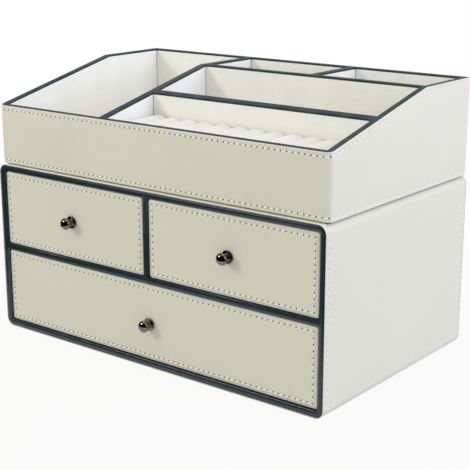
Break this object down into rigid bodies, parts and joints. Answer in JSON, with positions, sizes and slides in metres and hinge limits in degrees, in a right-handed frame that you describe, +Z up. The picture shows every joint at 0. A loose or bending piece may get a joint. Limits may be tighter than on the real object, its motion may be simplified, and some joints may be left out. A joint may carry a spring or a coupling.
{
  "type": "makeup organizer",
  "caption": "Leather-wrapped vanity organizer: drawers with round knobs in a dark-framed case, under a lift-off compartment tray with ring rolls.",
  "frame": {"origin": "centre of the case's footprint, on the surface it stands on", "axes": "+X to the right seen from the front, +Y to the back, +Z up; the drawers open towards -Y"},
  "size_m": [0.29, 0.1842, 0.1948],
  "materials": {
    "leather": "cream imitation leather, fine grain, satin",
    "edge_leather": "dark teal-navy imitation leather, smooth, satin",
    "suede": "off-white short-pile suede cloth",
    "velvet": "off-white velvet over foam",
    "felt": "dark pressed felt",
    "board": "plain pressed fibreboard",
    "wrapped_board": "fibreboard wrapped in off-white grained paper",
    "card": "plain grey-white card",
    "dark_metal": "black-nickel plated, polished",
    "screw_steel": "plain zinc-plated steel"
  },
  "bodies": {
    "case": {"case_left_board": "board", "case_right_board": "board", "case_top_board": "board", "case_bottom_board": "board", "case_back_board": "board", "case_shelf": "board", "case_post": "board", "case_cover": "leather", "case_back_cover": "leather", "case_frame": "edge_leather", "case_lining": "suede", "case_felt": "felt"},
    "left_drawer": {"left_front_board": "board", "left_front_cover": "leather", "left_sides": "wrapped_board", "left_back": "wrapped_board", "left_bottom": "wrapped_board", "left_lining": "suede", "left_knob": "dark_metal", "left_knob_screw": "screw_steel"},
    "right_drawer": {"right_front_board": "board", "right_front_cover": "leather", "right_sides": "wrapped_board", "right_back": "wrapped_board", "right_bottom": "wrapped_board", "right_lining": "suede", "right_knob": "dark_metal", "right_knob_screw": "screw_steel"},
    "wide_drawer": {"wide_front_board": "board", "wide_front_cover": "leather", "wide_sides": "wrapped_board", "wide_back": "wrapped_board", "wide_bottom": "wrapped_board", "wide_lining": "suede", "wide_knob": "dark_metal", "wide_knob_screw": "screw_steel"},
    "tray": {"tray_front_board": "board", "tray_back_board": "board", "tray_left_board": "board", "tray_right_board": "board", "tray_floor": "board", "long_divider": "board", "ring_partition": "board", "rear_partition": "board", "rear_divider": "board", "tray_cover": "leather", "tray_trim": "edge_leather", "tray_lining": "suede", "tray_felt": "felt", "ring_riser": "card", "ring_rolls": "velvet"}
  },
  "joints": [
    {"name": "left_drawer_slide", "type": "slide", "parent": "case", "child": "left_drawer", "axis": [0, -1, 0], "range_m": [0, 0.13]},
    {"name": "right_drawer_slide", "type": "slide", "parent": "case", "child": "right_drawer", "axis": [0, -1, 0], "range_m": [0, 0.13]},
    {"name": "wide_drawer_slide", "type": "slide", "parent": "case", "child": "wide_drawer", "axis": [0, -1, 0], "range_m": [0, 0.13]},
    {"name": "tray_lift", "type": "slide", "parent": "case", "child": "tray", "axis": [0, 0, 1], "range_m": [0, 0.12]}
  ]
}
